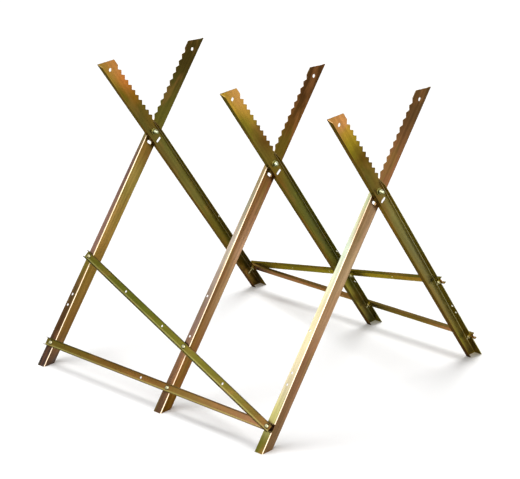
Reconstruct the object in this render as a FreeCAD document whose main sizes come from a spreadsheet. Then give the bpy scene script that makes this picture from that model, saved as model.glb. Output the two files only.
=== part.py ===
import FreeCAD, Part
import math
import os
import Sketcher

# Folding sawhorse that holds logs for sawing.
#
# Three pairs of folded-sheet legs cross like an X.  One leg of each pair, the rear leg, has
# its foot behind and its top in front; the front leg is the same folding turned half round.
# A bolt through both webs is the pivot, and the three pivots share one line.  Below it a
# lower brace and a diagonal brace tie the three rear legs together, and a second pair of
# braces ties the three front legs, so the sawhorse folds flat about its pivots.
#
# Frame: X along the log, -Y to the front, +Z up, ground at Z = 0, pivot line above X.

doc = FreeCAD.newDocument("FoldingSawhorse")
sheet = doc.addObject("Spreadsheet::Sheet", "Sizes")

# Lengths in mm, angles in degrees.
DRIVING_SIZES = (
    ("half_angle", 36.87, "lean of each leg from the vertical when the sawhorse is open"),
    ("long_bay", 440, "from the first pair of legs to the middle pair"),
    ("short_bay", 345, "from the middle pair of legs to the third pair"),
    ("web_gap", 0.2, "running gap between the webs of two crossing legs"),
    ("leg_below", 698, "leg from its pivot to the ground, along the leg"),
    ("leg_above", 281, "leg from its pivot to its top, along the leg"),
    ("top_cut", 34, "slant of the cut across its top, where a level cut would equal its lean"),
    ("leg_sheet", 1.5, "sheet that the legs are folded from"),
    ("leg_bend", 1.5, "inside radius of the folds of a leg"),
    ("long_edge", 26.5, "pivot to the edge that is folded over its whole length"),
    ("long_flange", 16, "depth of the flange along that edge"),
    ("long_chamfer_run", 8.4, "chamfer at the top of that flange, along the leg"),
    ("long_chamfer_rest", 4, "depth of that flange left at the very top"),
    ("brace_edge_top", 18.3, "pivot to the fold of the flange that carries the braces"),
    ("brace_edge_foot", 4.7, "the same at the foot, where the leg is narrower"),
    ("brace_strip", 29.5, "sheet from the pivot line to the tip of that flange"),
    ("brace_flange_start", 28, "where that flange runs out, above the pivot"),
    ("brace_flange_full", 5, "where it has its full depth, above the pivot"),
    ("tooth_line", 24.5, "pivot line to the tips of the teeth"),
    ("tooth_depth", 7.5, "depth of the teeth"),
    ("tooth_pitch", 20.16, "from one tooth to the next"),
    ("tooth_rise", 9.4, "run of the lower side of a tooth"),
    ("tooth_land", 0.8, "flat tip of a tooth"),
    ("tooth_start", 32, "lowest root, above the pivot"),
    ("tooth_lobe", 20, "least plain edge left above the teeth"),
    ("top_corner", 3, "radius of the top corner on the toothed side"),
    ("hang_hole", 10, "diameter of the hanging hole"),
    ("hang_hole_drop", 28, "hanging hole below the top"),
    ("lock_slot", 18, "length of the slot across the web"),
    ("lock_slot_width", 8, "width of that slot"),
    ("lock_slot_drop", 31.5, "that slot below the pivot"),
    ("web_hole_offset", 2.75, "hanging hole and slot from the pivot line, on the long edge's side"),
    ("pivot_bolt", 8, "diameter of the pivot bolts"),
    ("pivot_play", 0.05, "radial running clearance on them"),
    ("pivot_end_play", 0.15, "gap between a front leg and the washer beside it"),
    ("pivot_bolt_long", 20, "length of the outer two pivot bolts"),
    ("pivot_bolt_short", 16, "length of the middle pivot bolt"),
    ("pivot_head_flats", 13, "across the flats of their heads and nuts"),
    ("pivot_head_height", 5.3, "height of their heads"),
    ("pivot_nut_height", 6.5, "height of their nuts"),
    ("pivot_washer", 20, "diameter of their washers"),
    ("pivot_washer_sheet", 1.6, "thickness of their washers"),
    ("brace_width", 21, "width of a brace over its flanges"),
    ("brace_depth", 8, "depth of a brace"),
    ("brace_sheet", 1.5, "sheet that the braces are folded from"),
    ("brace_bend", 1, "inside radius of their folds"),
    ("front_brace_low", 63.5, "foot to the front lower brace's bolts, along the fold"),
    ("rear_brace_low", 76.5, "the same for the rear lower brace"),
    ("brace_high", 316, "foot to a diagonal's highest bolt, along the fold"),
    ("lower_margin", 16, "lower brace past its end bolts"),
    ("diagonal_margin", 12, "diagonal brace past its end bolts"),
    ("spare_hole", 188, "spare holes of the diagonal from its end bolts"),
    ("brace_bolt", 6, "diameter of the brace bolts"),
    ("brace_bolt_hole", 6.5, "holes for them"),
    ("brace_bolt_inset", 13.5, "those holes from the leg's web face"),
    ("brace_bolt_short", 15, "length of a bolt through one brace, under the head"),
    ("brace_bolt_long", 35, "length of the bolt through both braces"),
    ("brace_head", 12.5, "diameter of their domed heads"),
    ("brace_head_height", 3.8, "height of the domes"),
    ("brace_head_rim", 1, "straight rim below the dome"),
    ("brace_nut_flats", 10, "across the flats of their nuts"),
    ("brace_nut_height", 5.2, "height of their nuts"),
    ("seat_gap", 0.04, "air under a diagonal and under the bolt heads"),
    ("thread_gap", 0.05, "radial gap between a bolt and its nut or washer"),
    ("bolt_chamfer", 0.8, "chamfer on the end of a bolt"),
)
for row, (alias, number, note) in enumerate(DRIVING_SIZES, start=1):
    sheet.set(f"A{row}", note)
    sheet.set(f"B{row}", str(number))
    sheet.setAlias(f"B{row}", alias)
doc.recompute()


def size(expression):
    """The number that an expression over the sheet stands for."""
    return float(sheet.evalExpression(expression))


def new_body(label):
    body = doc.addObject("PartDesign::Body", label)
    body.Label = label
    return body


def new_sketch(body, plane, name, lift="0"):
    """A sketch on one of the body's own planes, lifted along the plane's normal."""
    sketch = body.newObject("Sketcher::SketchObject", name)
    origin_plane = next(part for part in body.Origin.OriginFeatures if part.Role == plane)
    sketch.AttachmentSupport = [(origin_plane, "")]
    sketch.MapMode = "FlatFace"
    sketch.setExpression("AttachmentOffset.Base.z", lift)
    return sketch


def bind(sketch, kind, first, second, expression):
    """Ties the distance between two points of a sketch to the sheet."""
    constraint = Sketcher.Constraint(kind, *first, *second, size(expression))
    sketch.setExpression(f"Constraints[{sketch.addConstraint(constraint)}]", expression)


SKETCH_ORIGIN = (-1, 1)


def draw_polygon(sketch, corners):
    """A closed outline whose corners are pairs of expressions over the sheet."""
    places = [FreeCAD.Vector(size(x), size(y), 0) for x, y in corners]
    lines = [
        sketch.addGeometry(Part.LineSegment(start, end))
        for start, end in zip(places, places[1:] + places[:1])
    ]
    for line, following in zip(lines, lines[1:] + lines[:1]):
        sketch.addConstraint(Sketcher.Constraint("Coincident", line, 2, following, 1))
    for line, (x, y) in zip(lines, corners):
        bind(sketch, "DistanceX", SKETCH_ORIGIN, (line, 1), x)
        bind(sketch, "DistanceY", SKETCH_ORIGIN, (line, 1), y)
    return sketch


def draw_circle(sketch, x, y, diameter):
    centre = FreeCAD.Vector(size(x), size(y), 0)
    normal = FreeCAD.Vector(0, 0, 1)
    circle = sketch.addGeometry(Part.Circle(centre, normal, size(diameter) / 2))
    bind(sketch, "DistanceX", SKETCH_ORIGIN, (circle, 3), x)
    bind(sketch, "DistanceY", SKETCH_ORIGIN, (circle, 3), y)
    constraint = Sketcher.Constraint("Diameter", circle, size(diameter))
    sketch.setExpression(f"Constraints[{sketch.addConstraint(constraint)}]", diameter)
    return sketch


def draw_slot(sketch, x, y, length, width):
    """A slot with round ends that lies along the sketch's X."""
    reach = f"({length} - {width}) / 2"
    ends = []
    for centre_x, start in ((f"{x} + {reach}", -90), (f"{x} - {reach}", 90)):
        centre = FreeCAD.Vector(size(centre_x), size(y), 0)
        circle = Part.Circle(centre, FreeCAD.Vector(0, 0, 1), size(width) / 2)
        end = sketch.addGeometry(Part.ArcOfCircle(circle, math.radians(start), math.radians(start + 180)))
        bind(sketch, "DistanceX", SKETCH_ORIGIN, (end, 3), centre_x)
        bind(sketch, "DistanceY", SKETCH_ORIGIN, (end, 3), y)
        constraint = Sketcher.Constraint("Radius", end, size(width) / 2)
        sketch.setExpression(f"Constraints[{sketch.addConstraint(constraint)}]", f"{width} / 2")
        ends.append(end)
    for end, other in (ends, ends[::-1]):
        side = sketch.addGeometry(Part.LineSegment(sketch.getPoint(end, 2), sketch.getPoint(other, 1)))
        sketch.addConstraint(Sketcher.Constraint("Tangent", end, 2, side, 1))
        sketch.addConstraint(Sketcher.Constraint("Tangent", side, 2, other, 1))
    return sketch


def draw_hexagon(sketch, flats):
    """A hexagon round the sketch's origin, two of its flats square to the sketch's Y."""
    corner = f"{flats} / 2 / cos(30)"
    return draw_polygon(
        sketch, [(f"{corner} * cos({turn})", f"{corner} * sin({turn})") for turn in range(0, 360, 60)]
    )


def pad(body, sketch, length, reverse=False):
    feature = body.newObject("PartDesign::Pad", sketch.Name + "Pad")
    feature.Profile = sketch
    feature.setExpression("Length", length)
    feature.Reversed = reverse
    doc.recompute()
    return feature


def pocket(body, sketch, depth=None, reverse=False):
    """Cuts along the sketch's normal, or against it if reverse is false."""
    before = body.Shape.Volume
    feature = body.newObject("PartDesign::Pocket", sketch.Name + "Cut")
    feature.Profile = sketch
    feature.Reversed = reverse
    if depth is None:
        feature.Type = "ThroughAll"
    else:
        feature.setExpression("Length", depth)
    doc.recompute()
    if body.Shape.Volume > before - 1:
        raise RuntimeError(f"{feature.Name} cuts nothing from {body.Label}")
    return feature


def fillet(body, name, radius, chosen):
    """Rounds the edges of the body that the test chosen picks."""
    solid = body.Tip
    edges = [f"Edge{n}" for n, edge in enumerate(solid.Shape.Edges, start=1) if chosen(edge)]
    feature = body.newObject("PartDesign::Fillet", name)
    feature.Base = (solid, edges)
    feature.setExpression("Radius", radius)
    doc.recompute()
    return feature


def lies_at(edge, **levels):
    """Whether an edge lies wholly at the given X, Y or Z levels."""
    box = edge.BoundBox
    return all(
        abs(getattr(box, f"{axis}Min") - level) < 0.01 and abs(getattr(box, f"{axis}Max") - level) < 0.01
        for axis, level in levels.items()
    )


# ---- Legs -----------------------------------------------------------------------------
# A leg is drawn with X across its web, towards the braces below and the teeth above, Y up
# along it, Z into the channel, and its pivot at the origin.  Its foot is cut level with the
# ground, its top a little less steeply.

FOOT_SLOPE = "tan(Sizes.half_angle)"
TOP_SLOPE = "tan(Sizes.top_cut)"
TAPER = "((Sizes.brace_edge_top - Sizes.brace_edge_foot) / Sizes.leg_below)"
PAST_FOOT = "(0 - Sizes.leg_below - Sizes.long_edge)"
PAST_TOP = "(Sizes.leg_above + Sizes.long_edge)"
LONG_EDGE = "(0 - Sizes.long_edge)"
TOOTH_ROOT = "(Sizes.tooth_line - Sizes.tooth_depth)"
STOCK_DEPTH = "(Sizes.long_flange + Sizes.brace_strip)"


def on_foot_cut(across):
    return across, f"0 - Sizes.leg_below - {FOOT_SLOPE} * {across}"


def on_top_cut(across):
    return across, f"Sizes.leg_above - {TOP_SLOPE} * {across}"


def brace_fold_at(height):
    """Distance of the slanting fold from the pivot line."""
    return f"(Sizes.brace_edge_top + {TAPER} * {height})"


def flange_tip_at(height):
    """Depth of the brace flange: what the strip has left beyond its slanting fold."""
    return f"(Sizes.brace_strip - {brace_fold_at(height)})"


def leg_channel(body):
    """Web and two flanges, folded up from one sheet."""
    brace_corner = f"((Sizes.brace_edge_top - {TAPER} * Sizes.leg_below) / (1 + {TAPER} * {FOOT_SLOPE}))"
    outline = [
        on_foot_cut(LONG_EDGE),
        on_foot_cut(brace_corner),
        (brace_fold_at("Sizes.brace_flange_start"), "Sizes.brace_flange_start"),
        (TOOTH_ROOT, "Sizes.tooth_start"),
        on_top_cut(TOOTH_ROOT),
        on_top_cut(LONG_EDGE),
    ]
    pad(body, draw_polygon(new_sketch(body, "XY_Plane", "Outline"), outline), STOCK_DEPTH)
    halfway_down = -size("Sizes.leg_below") / 2
    fillet(
        body, "OuterBends", "Sizes.leg_bend + Sizes.leg_sheet",
        lambda edge: lies_at(edge, Z=0) and edge.BoundBox.YMin < halfway_down < edge.BoundBox.YMax,
    )
    inner_edge = f"({LONG_EDGE} + Sizes.leg_sheet)"
    hollow = [
        (inner_edge, PAST_FOOT),
        (f"{brace_fold_at(PAST_FOOT)} - Sizes.leg_sheet", PAST_FOOT),
        (f"{brace_fold_at(PAST_TOP)} - Sizes.leg_sheet", PAST_TOP),
        (inner_edge, PAST_TOP),
    ]
    inside = new_sketch(body, "XY_Plane", "Inside", "Sizes.leg_sheet")
    pocket(body, draw_polygon(inside, hollow), reverse=True)
    inner_face = size("Sizes.leg_sheet")
    fillet(
        body, "InnerBends", "Sizes.leg_bend",
        lambda edge: lies_at(edge, Z=inner_face) and edge.BoundBox.YMin < halfway_down < edge.BoundBox.YMax,
    )


def trim_leg_flanges(body):
    """The brace flange tapers and runs out at the pivot; the long flange is chamfered."""
    above_brace_flange = [
        (PAST_TOP, "Sizes.leg_sheet"),
        ("Sizes.brace_flange_start", "Sizes.leg_sheet"),
        ("Sizes.brace_flange_full", flange_tip_at("Sizes.brace_flange_full")),
        (PAST_FOOT, flange_tip_at(PAST_FOOT)),
        (PAST_FOOT, f"{STOCK_DEPTH} + 1"),
        (PAST_TOP, f"{STOCK_DEPTH} + 1"),
    ]
    brace_flange = draw_polygon(new_sketch(body, "YZ_Plane", "BraceFlange"), above_brace_flange)
    pocket(body, brace_flange, reverse=True)
    corner = f"({on_top_cut(LONG_EDGE)[1]})"
    above_long_flange = [
        (PAST_FOOT, "Sizes.long_flange"),
        (f"{corner} - Sizes.long_chamfer_run", "Sizes.long_flange"),
        (corner, "Sizes.long_chamfer_rest"),
        (f"{corner} + 1", "Sizes.long_chamfer_rest"),
        (f"{corner} + 1", f"{STOCK_DEPTH} + 1"),
        (PAST_FOOT, f"{STOCK_DEPTH} + 1"),
    ]
    pocket(body, draw_polygon(new_sketch(body, "YZ_Plane", "LongFlange"), above_long_flange))


def leg_teeth(body):
    """A flat toothed edge above the pivot, ending in a plain lobe with a rounded corner."""
    plate = [
        ("0", "Sizes.tooth_start"),
        (TOOTH_ROOT, "Sizes.tooth_start"),
        ("Sizes.tooth_line", "Sizes.tooth_start + Sizes.tooth_rise"),
        on_top_cut("Sizes.tooth_line"),
        on_top_cut("0"),
    ]
    pad(body, draw_polygon(new_sketch(body, "XY_Plane", "ToothPlate"), plate), "Sizes.leg_sheet")
    tooth_line = size("Sizes.tooth_line")
    lobe_top = size(on_top_cut("Sizes.tooth_line")[1])
    fillet(body, "TopCorner", "Sizes.top_corner", lambda edge: lies_at(edge, X=tooth_line, Y=lobe_top))

    root = "(Sizes.tooth_start + Sizes.tooth_pitch)"
    tip_above = f"{root} + Sizes.tooth_rise"
    tip_below = "Sizes.tooth_start + Sizes.tooth_rise + Sizes.tooth_land"
    notch = [
        (TOOTH_ROOT, root),
        ("Sizes.tooth_line", tip_above),
        ("Sizes.tooth_line + 1", tip_above),
        ("Sizes.tooth_line + 1", tip_below),
        ("Sizes.tooth_line", tip_below),
    ]
    sketch = draw_polygon(new_sketch(body, "XY_Plane", "Notch"), notch)
    first = pocket(body, sketch, reverse=True)
    teeth = body.newObject("PartDesign::LinearPattern", "Teeth")
    teeth.Originals = [first]
    teeth.Direction = (sketch, ["V_Axis"])
    teeth.Mode = "Spacing"
    teeth.setExpression("Offset", "Sizes.tooth_pitch")
    toothed = f"{on_top_cut('Sizes.tooth_line')[1]} - Sizes.tooth_start - Sizes.tooth_lobe"
    teeth.setExpression("Occurrences", f"floor(({toothed}) / Sizes.tooth_pitch)")
    body.Tip = teeth
    doc.recompute()


SPAN = "(Sizes.long_bay + Sizes.short_bay)"


def diagonal_fall(side):
    """From the high bolt of a diagonal down to its low bolt, along the folds."""
    return f"(Sizes.brace_high - Sizes.{side}_brace_low)"


def bolt_height(side, past):
    """Height of a diagonal's bolt, up the fold from the foot, past its high bolt along X."""
    return f"(Sizes.brace_high - {diagonal_fall(side)} * {past} / {SPAN})"


def leg_holes(body, side):
    """The brace holes suit every place along the sawhorse, so some of them stay empty."""
    web = new_sketch(body, "XY_Plane", "WebHoles")
    draw_circle(web, "0", "0", "Sizes.pivot_bolt + 2 * Sizes.pivot_play")
    beside_pivot = "0 - Sizes.web_hole_offset"
    draw_circle(web, beside_pivot, "Sizes.leg_above - Sizes.hang_hole_drop", "Sizes.hang_hole")
    draw_slot(web, beside_pivot, "0 - Sizes.lock_slot_drop", "Sizes.lock_slot", "Sizes.lock_slot_width")
    pocket(body, web, reverse=True)

    flange = new_sketch(body, "YZ_Plane", "FlangeHoles", "Sizes.brace_edge_top")
    flange.AttachmentOffset = FreeCAD.Placement(
        FreeCAD.Vector(0, 0, size("Sizes.brace_edge_top")),
        FreeCAD.Rotation(FreeCAD.Vector(0, -1, 0), size(f"atan({TAPER})")),
    )
    for past in ("0", "Sizes.short_bay", "Sizes.long_bay", SPAN):
        level = f"{bolt_height(side, past)} - Sizes.leg_below"
        draw_circle(flange, level, "Sizes.brace_bolt_inset", "Sizes.brace_bolt_hole")
    pocket(body, flange, "2 * Sizes.leg_sheet")


def make_leg(label, side):
    body = new_body(label)
    leg_channel(body)
    trim_leg_flanges(body)
    leg_teeth(body)
    leg_holes(body, side)
    return body


# ---- Braces ---------------------------------------------------------------------------
# A brace is drawn with X along it from its first bolt, Y across it, Z out from the legs,
# and the back of its web at Z = 0.

def diagonal_length(side):
    return f"sqrt({SPAN}^2 + {diagonal_fall(side)}^2)"


def crossing(side):
    """From the bolt through both braces back to where their edges part, along X."""
    slope = f"atan({diagonal_fall(side)} / {SPAN})"
    return f"(Sizes.brace_width / 2 * (1 + 1 / cos({slope})) / tan({slope}))"


def rectangle(left, right, bottom, top):
    return [(left, bottom), (right, bottom), (right, top), (left, top)]


def brace_channel(label, length, margin, holes):
    """A brace folded to a shallow channel, with a row of holes along its web."""
    body = new_body(label)
    half = "(Sizes.brace_width / 2)"
    block = rectangle(f"0 - {margin}", f"{length} + {margin}", f"0 - {half}", half)
    pad(body, draw_polygon(new_sketch(body, "XY_Plane", "Outline"), block), "Sizes.brace_depth")
    outer_edge = size(half)
    fillet(
        body, "OuterBends", "Sizes.brace_bend + Sizes.brace_sheet",
        lambda edge: lies_at(edge, Z=0, Y=outer_edge) or lies_at(edge, Z=0, Y=-outer_edge),
    )
    inner = f"({half} - Sizes.brace_sheet)"
    hollow = rectangle(f"0 - {margin} - 1", f"{length} + {margin} + 1", f"0 - {inner}", inner)
    inside = new_sketch(body, "XY_Plane", "Inside", "Sizes.brace_sheet")
    pocket(body, draw_polygon(inside, hollow), reverse=True)
    inner_edge = size(inner)
    inner_face = size("Sizes.brace_sheet")
    fillet(
        body, "InnerBends", "Sizes.brace_bend",
        lambda edge: lies_at(edge, Z=inner_face, Y=inner_edge) or lies_at(edge, Z=inner_face, Y=-inner_edge),
    )
    row = new_sketch(body, "XY_Plane", "Holes")
    for place in holes:
        draw_circle(row, place, "0", "Sizes.brace_bolt_hole")
    pocket(body, row, reverse=True)
    return body


def make_lower_brace(label):
    holes = ("0", "Sizes.short_bay", "Sizes.long_bay", SPAN)
    return brace_channel(label, SPAN, "Sizes.lower_margin", holes)


def make_diagonal_brace(label, side):
    """Crosses from the high bolt of one end pair of legs to the low bolt of the other."""
    length = diagonal_length(side)
    holes = (
        "0",
        "Sizes.spare_hole",
        f"{length} * Sizes.short_bay / {SPAN}",
        f"{length} * Sizes.long_bay / {SPAN}",
        f"{length} - Sizes.spare_hole",
        length,
    )
    return brace_channel(label, length, "Sizes.diagonal_margin", holes)


# ---- Fasteners ------------------------------------------------------------------------
# A bolt is drawn with its head's seat at Z = 0, its head above and its shank below.  A nut
# or washer is drawn on its seat at Z = 0.

def revolve(body, sketch):
    feature = body.newObject("PartDesign::Revolution", sketch.Name + "Turned")
    feature.Profile = sketch
    feature.ReferenceAxis = (sketch, ["V_Axis"])
    feature.Angle = 360
    doc.recompute()
    return feature


def shank_profile(diameter, length):
    """Half of a shank's section, from its seat down to its chamfered end."""
    radius = f"{diameter} / 2"
    return [
        (radius, "0"),
        (radius, f"Sizes.bolt_chamfer - {length}"),
        (f"{radius} - Sizes.bolt_chamfer", f"0 - {length}"),
        ("0", f"0 - {length}"),
    ]


def make_brace_bolt(label, length):
    """A bolt with a low domed head."""
    body = new_body(label)
    dome = "(Sizes.brace_head_height - Sizes.brace_head_rim)"
    sphere = f"((Sizes.brace_head^2 / 4 + {dome}^2) / (2 * {dome}))"
    corners = [("0", "Sizes.brace_head_height"), ("0", f"0 - {length}")]
    corners += shank_profile("Sizes.brace_bolt", length)[-2::-1]
    corners += [("Sizes.brace_head / 2", "0"), ("Sizes.brace_head / 2", "Sizes.brace_head_rim")]
    sketch = new_sketch(body, "XZ_Plane", "Profile")
    places = [FreeCAD.Vector(size(x), size(y), 0) for x, y in corners]
    lines = [
        sketch.addGeometry(Part.LineSegment(start, end)) for start, end in zip(places, places[1:])
    ]
    for line, (x, y) in zip(lines, corners):
        bind(sketch, "DistanceX", SKETCH_ORIGIN, (line, 1), x)
        bind(sketch, "DistanceY", SKETCH_ORIGIN, (line, 1), y)
    for line, following in zip(lines, lines[1:]):
        sketch.addConstraint(Sketcher.Constraint("Coincident", line, 2, following, 1))
    bind(sketch, "DistanceX", SKETCH_ORIGIN, (lines[-1], 2), corners[-1][0])
    bind(sketch, "DistanceY", SKETCH_ORIGIN, (lines[-1], 2), corners[-1][1])
    centre = FreeCAD.Vector(0, size(f"Sizes.brace_head_height - {sphere}"), 0)
    over = centre + FreeCAD.Vector(0, size(sphere), 0)
    rim = places[-1]
    middle = centre + ((over + rim) / 2 - centre).normalize() * size(sphere)
    arc = sketch.addGeometry(Part.Arc(rim, middle, over))
    sketch.addConstraint(Sketcher.Constraint("Coincident", arc, 1, lines[-1], 2))
    sketch.addConstraint(Sketcher.Constraint("Coincident", arc, 2, lines[0], 1))
    bind(sketch, "DistanceX", SKETCH_ORIGIN, (arc, 3), "0")
    revolve(body, sketch)
    return body


def make_nut(label, flats, height, thread):
    body = new_body(label)
    hexagon = draw_hexagon(new_sketch(body, "XY_Plane", "Hexagon"), flats)
    pad(body, draw_circle(hexagon, "0", "0", f"{thread} + 2 * Sizes.thread_gap"), height)
    return body


def make_washer(label):
    body = new_body(label)
    ring = draw_circle(new_sketch(body, "XY_Plane", "Ring"), "0", "0", "Sizes.pivot_washer")
    draw_circle(ring, "0", "0", "Sizes.pivot_bolt + 2 * Sizes.thread_gap")
    pad(body, ring, "Sizes.pivot_washer_sheet")
    return body


def make_pivot_bolt(label, length):
    body = new_body(label)
    shank = [("0", "0")] + shank_profile("Sizes.pivot_bolt", length)
    revolve(body, draw_polygon(new_sketch(body, "XZ_Plane", "Shank"), shank))
    head = draw_hexagon(new_sketch(body, "XY_Plane", "Head"), "Sizes.pivot_head_flats")
    pad(body, head, "Sizes.pivot_head_height")
    return body


# ---- Assembly -------------------------------------------------------------------------

ALONG_LOG = FreeCAD.Vector(1, 0, 0)
HALF_ANGLE = size("Sizes.half_angle")
PIVOT_HEIGHT = size("Sizes.leg_below * cos(Sizes.half_angle)")
HALF_SPAN = size(SPAN) / 2
PAIR_PLACES = (-HALF_SPAN, size("Sizes.long_bay") - HALF_SPAN, HALF_SPAN)
HALF_TURN = {
    "front": FreeCAD.Rotation(),
    "rear": FreeCAD.Rotation(FreeCAD.Vector(0, 0, 1), 180),
}
OUTWARD = {"front": -1, "rear": 1}


def leaning_frame(side, lean, x):
    """A frame on the pivot line whose Y runs up a leg and whose Z points along the log.

    lean is the angle of Y from the vertical; Z points away from the crossing leg.
    """
    upright = FreeCAD.Rotation(
        FreeCAD.Vector(0, -1, 0), FreeCAD.Vector(0, 0, 1), FreeCAD.Vector(-1, 0, 0), "ZYX"
    )
    turn = HALF_TURN[side] * FreeCAD.Rotation(ALONG_LOG, -lean) * upright
    return FreeCAD.Placement(FreeCAD.Vector(x, 0, PIVOT_HEIGHT), turn)


def web_face(side, pair):
    """Where along the log the outer web face of a leg lies at its pivot."""
    return PAIR_PLACES[pair] + OUTWARD[side] * size("Sizes.web_gap") / 2


def side_frame(side):
    """The plane of the brace flanges: X along the braces, Y up the folds, Z outwards."""
    first_pair = 0 if side == "front" else 2
    start = web_face(side, first_pair) + OUTWARD[side] * size("Sizes.brace_bolt_inset")
    leg = leaning_frame(side, HALF_ANGLE, start)
    on_fold = FreeCAD.Placement(FreeCAD.Vector(size("Sizes.brace_edge_top"), 0, 0), FreeCAD.Rotation())
    folded = FreeCAD.Rotation(FreeCAD.Vector(0, 0, 1), -size(f"atan({TAPER})"))
    facing_out = FreeCAD.Rotation(FreeCAD.Vector(0, 1, 0), 90)
    return leg * on_fold * FreeCAD.Placement(FreeCAD.Vector(), folded * facing_out)


def fold_height(height):
    """Place of a brace bolt up the folds, from the level of the pivots."""
    return size(f"{height} - Sizes.leg_below")


def diagonal_climb(side):
    """Rise of a diagonal from the flanges to the lower brace's edges, per mm along X."""
    return size(f"Sizes.brace_depth / (Sizes.diagonal_margin + {SPAN} - {crossing(side)})")


def diagonal_lift(side, x):
    """Back of a diagonal above the flanges; its end at the high bolt lies on them."""
    return size("Sizes.seat_gap") + diagonal_climb(side) * (x + size("Sizes.diagonal_margin"))


def diagonal_seat(side, x):
    """The same under a bolt head, which the climbing brace meets on one side of its rim."""
    return diagonal_lift(side, x + size("Sizes.brace_head / 2"))


parts = []


def place(body, placement):
    body.Placement = placement
    parts.append(body)


def local(x, y, z, rotation=FreeCAD.Rotation()):
    return FreeCAD.Placement(FreeCAD.Vector(x, y, z), rotation)


LEG_SHEET = size("Sizes.leg_sheet")
BRACE_SHEET = size("Sizes.brace_sheet")
SEAT_GAP = size("Sizes.seat_gap")
WASHER_SHEET = size("Sizes.pivot_washer_sheet")

for side in ("rear", "front"):
    for pair in range(3):
        leg = make_leg(f"{side}_leg_{pair + 1}", side)
        place(leg, leaning_frame(side, HALF_ANGLE, web_face(side, pair)))

    flanges = side_frame(side)
    low = fold_height(f"Sizes.{side}_brace_low")
    high = fold_height("Sizes.brace_high")
    place(make_lower_brace(f"{side}_lower_brace"), flanges * local(0, low, 0))
    span = 2 * HALF_SPAN
    run = FreeCAD.Vector(span, low - high, diagonal_climb(side) * span)
    slanting = FreeCAD.Rotation(run, FreeCAD.Vector(), FreeCAD.Vector(0, 0, 1), "XZY")
    diagonal = make_diagonal_brace(f"{side}_diagonal_brace", side)
    place(diagonal, flanges * local(0, high, diagonal_lift(side, 0), slanting))

    first_bay = "Sizes.long_bay" if side == "front" else "Sizes.short_bay"
    middle = size(first_bay)
    middle_high = fold_height(bolt_height(side, first_bay))
    bolts = (
        ("lower_bolt_a", 0, low, 0, "Sizes.brace_bolt_short"),
        ("lower_bolt_b", middle, low, 0, "Sizes.brace_bolt_short"),
        ("diagonal_bolt_a", 0, high, diagonal_seat(side, 0), "Sizes.brace_bolt_short"),
        ("diagonal_bolt_b", middle, middle_high, diagonal_seat(side, middle), "Sizes.brace_bolt_short"),
        ("shared_bolt", span, low, diagonal_seat(side, span), "Sizes.brace_bolt_long"),
    )
    for name, x, y, lift, length in bolts:
        bolt = make_brace_bolt(f"{side}_{name}", length)
        place(bolt, flanges * local(x, y, lift + BRACE_SHEET + SEAT_GAP))
        nut = make_nut(
            f"{side}_{name.replace('bolt', 'nut')}", "Sizes.brace_nut_flats", "Sizes.brace_nut_height",
            "Sizes.brace_bolt",
        )
        facing_in = FreeCAD.Rotation(ALONG_LOG, 180)
        place(nut, flanges * local(x, y, -LEG_SHEET, facing_in))

# The pivot bolts are held by their nuts on the rear legs, and the front legs turn on them.
HEAD_TOWARDS_FRONT_LEG = FreeCAD.Rotation(FreeCAD.Vector(0, 1, 0), -90)
NUT_TOWARDS_REAR_LEG = FreeCAD.Rotation(FreeCAD.Vector(0, 1, 0), 90)
for pair, length in enumerate(("Sizes.pivot_bolt_long", "Sizes.pivot_bolt_short", "Sizes.pivot_bolt_long")):
    number = pair + 1
    front_face = web_face("front", pair) - LEG_SHEET - size("Sizes.pivot_end_play")
    rear_face = web_face("rear", pair) + LEG_SHEET
    head = front_face - WASHER_SHEET
    place(
        make_pivot_bolt(f"pivot_bolt_{number}", length), local(head, 0, PIVOT_HEIGHT, HEAD_TOWARDS_FRONT_LEG)
    )
    place(
        make_washer(f"pivot_head_washer_{number}"),
        local(head, 0, PIVOT_HEIGHT, NUT_TOWARDS_REAR_LEG),
    )
    place(
        make_washer(f"pivot_nut_washer_{number}"),
        local(rear_face, 0, PIVOT_HEIGHT, NUT_TOWARDS_REAR_LEG),
    )
    place(
        make_nut(
            f"pivot_nut_{number}", "Sizes.pivot_head_flats", "Sizes.pivot_nut_height", "Sizes.pivot_bolt"
        ),
        local(rear_face + WASHER_SHEET, 0, PIVOT_HEIGHT, NUT_TOWARDS_REAR_LEG),
    )

doc.recompute()
for item in doc.Objects:
    if "Invalid" in item.State or "Error" in item.State:
        raise RuntimeError(f"{item.Name} failed: {item.State}")
for body in parts:
    if body.Shape.isNull() or not body.Shape.isValid():
        raise RuntimeError(f"{body.Label} has no valid shape")

os.makedirs("parts", exist_ok=True)
for body in parts:
    body.Shape.exportStep(f"parts/{body.Label}.step")
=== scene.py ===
import math

import bpy
from mathutils import Matrix, Vector


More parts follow.
